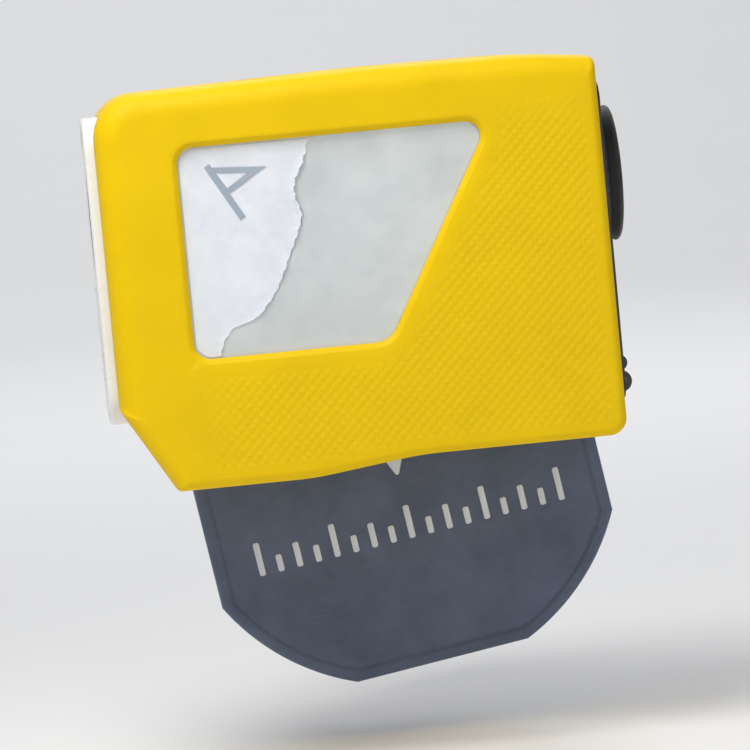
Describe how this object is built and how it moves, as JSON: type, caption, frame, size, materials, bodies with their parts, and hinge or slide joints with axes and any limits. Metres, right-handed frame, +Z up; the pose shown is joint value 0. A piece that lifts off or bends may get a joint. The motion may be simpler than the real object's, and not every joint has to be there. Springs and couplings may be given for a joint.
{
  "type": "golf distance finder on a magnetic bag-rim saddle",
  "caption": "Pocket golf distance finder in a soft sleeve with a slanted side window, held by a swivelling magnet on a spring saddle that clips over a golf bag rim.",
  "frame": {"origin": "centre of the bag rim that the saddle grips, half way along the saddle", "axes": "+X towards the eyepiece end of the hand unit, +Y from the hand unit into the bag, +Z up. The hand unit lies along the axes and the saddle leans 8.5 degrees about Y, as the picture shows."},
  "size_m": [0.1066, 0.095, 0.1271],
  "materials": {
    "sleeve_silicone": "satin silicone with a fine moulded diamond grip",
    "shell_plastic": "gloss white moulding",
    "gasket_rubber": "matt",
    "screw_steel": "machined",
    "plate_silver": "satin silver",
    "clear_film": "clear protective film, wrinkled free edge",
    "emblem_ink": "printed grey",
    "keeper_steel": "plated",
    "bezel_white": "gloss white",
    "panel_black": "gloss black",
    "barrel_black": "matt black, ribbed inside",
    "coated_glass": "coated",
    "diode_gold": "plated can",
    "prism_glass": "polished",
    "receiver_metal": "plated can",
    "display_black": "glass-faced module",
    "bezel_black": "fine textured",
    "board_green": "solder mask",
    "chip_black": "moulded",
    "switch_metal": "stamped",
    "antenna_ceramic": "fired",
    "battery_wrap": "foil pouch",
    "socket_steel": "drawn",
    "pin_steel": "ground",
    "ring_black": "knurled",
    "eyecup_rubber": "soft matt",
    "key_grey": "satin",
    "key_black": "satin",
    "cover_rubber": "satin",
    "seal_rubber": "matt",
    "clip_black": "powder coat",
    "liner_rubber": "ribbed",
    "base_black": "moulded",
    "pad_slate": "matt soft-touch",
    "print_silver": "printed",
    "rivet_steel": "turned",
    "cup_steel": "e-coat",
    "magnet_nickel": "nickel plated",
    "face_rubber": "grooved"
  },
  "bodies": {
    "saddle": {"rim_clip": "clip_black", "rim_liner": "liner_rubber", "tongue_grip": "liner_rubber", "pad_base": "base_black", "face_pad": "pad_slate", "printed_scale": "print_silver", "clip_screws": "screw_steel", "puck_pivot": "rivet_steel"},
    "puck": {"puck_cup": "cup_steel", "puck_magnet": "magnet_nickel", "puck_face": "face_rubber"},
    "fire_key": {"fire_button": "key_grey"},
    "mode_key": {"mode_button": "key_black"},
    "dioptre": {"dioptre_ring": "ring_black", "eyecup": "eyecup_rubber"},
    "port_door": {"port_cover": "cover_rubber", "port_seal": "seal_rubber"},
    "hand_unit": {"sleeve": "sleeve_silicone", "left_shell": "shell_plastic", "right_shell": "shell_plastic", "shell_gasket": "gasket_rubber", "shell_screws": "screw_steel", "side_plate": "plate_silver", "protective_film": "clear_film", "flag_emblem": "emblem_ink", "keeper_plate": "keeper_steel", "front_bezel": "bezel_white", "lens_panel": "panel_black", "objective_barrel": "barrel_black", "objective_lens": "coated_glass", "emitter_tube": "barrel_black", "emitter_lens": "coated_glass", "laser_diode": "diode_gold", "prism_block": "prism_glass", "light_receiver": "receiver_metal", "display_module": "display_black", "eyepiece_tube": "barrel_black", "eyepiece_lenses": "coated_glass", "rear_bezel": "bezel_black", "main_board": "board_green", "board_chips": "chip_black", "key_board": "board_green", "tact_switches": "switch_metal", "gps_antenna": "antenna_ceramic", "battery_pack": "battery_wrap", "beeper": "chip_black", "usb_socket": "socket_steel", "port_board": "board_green", "port_pin": "pin_steel"}
  },
  "joints": [
    {"name": "swivel", "type": "hinge", "parent": "saddle", "child": "puck", "pos_m": [0.00059, -0.025, -0.00396], "axis": [0, 1, 0], "continuous": true},
    {"name": "pull_off", "type": "slide", "parent": "puck", "child": "hand_unit", "axis": [0, -1, 0], "range_m": [0, 0.06]},
    {"name": "fire_press", "type": "slide", "parent": "hand_unit", "child": "fire_key", "axis": [0, 0, -1], "range_m": [0, 0.0009], "stiffness_N_per_m": 1500, "springref_m": -0.0008},
    {"name": "mode_press", "type": "slide", "parent": "hand_unit", "child": "mode_key", "axis": [0, 0, -1], "range_m": [0, 0.0009], "stiffness_N_per_m": 1500, "springref_m": -0.0008},
    {"name": "dioptre_turn", "type": "hinge", "parent": "hand_unit", "child": "dioptre", "pos_m": [0.0495, -0.048, 0.0249], "axis": [1, 0, 0], "range_deg": [-90, 90]},
    {"name": "port_hinge", "type": "hinge", "parent": "hand_unit", "child": "port_door", "pos_m": [0.0495, -0.048, -0.0131], "axis": [0, 1, 0], "range_deg": [0, 100]}
  ]
}
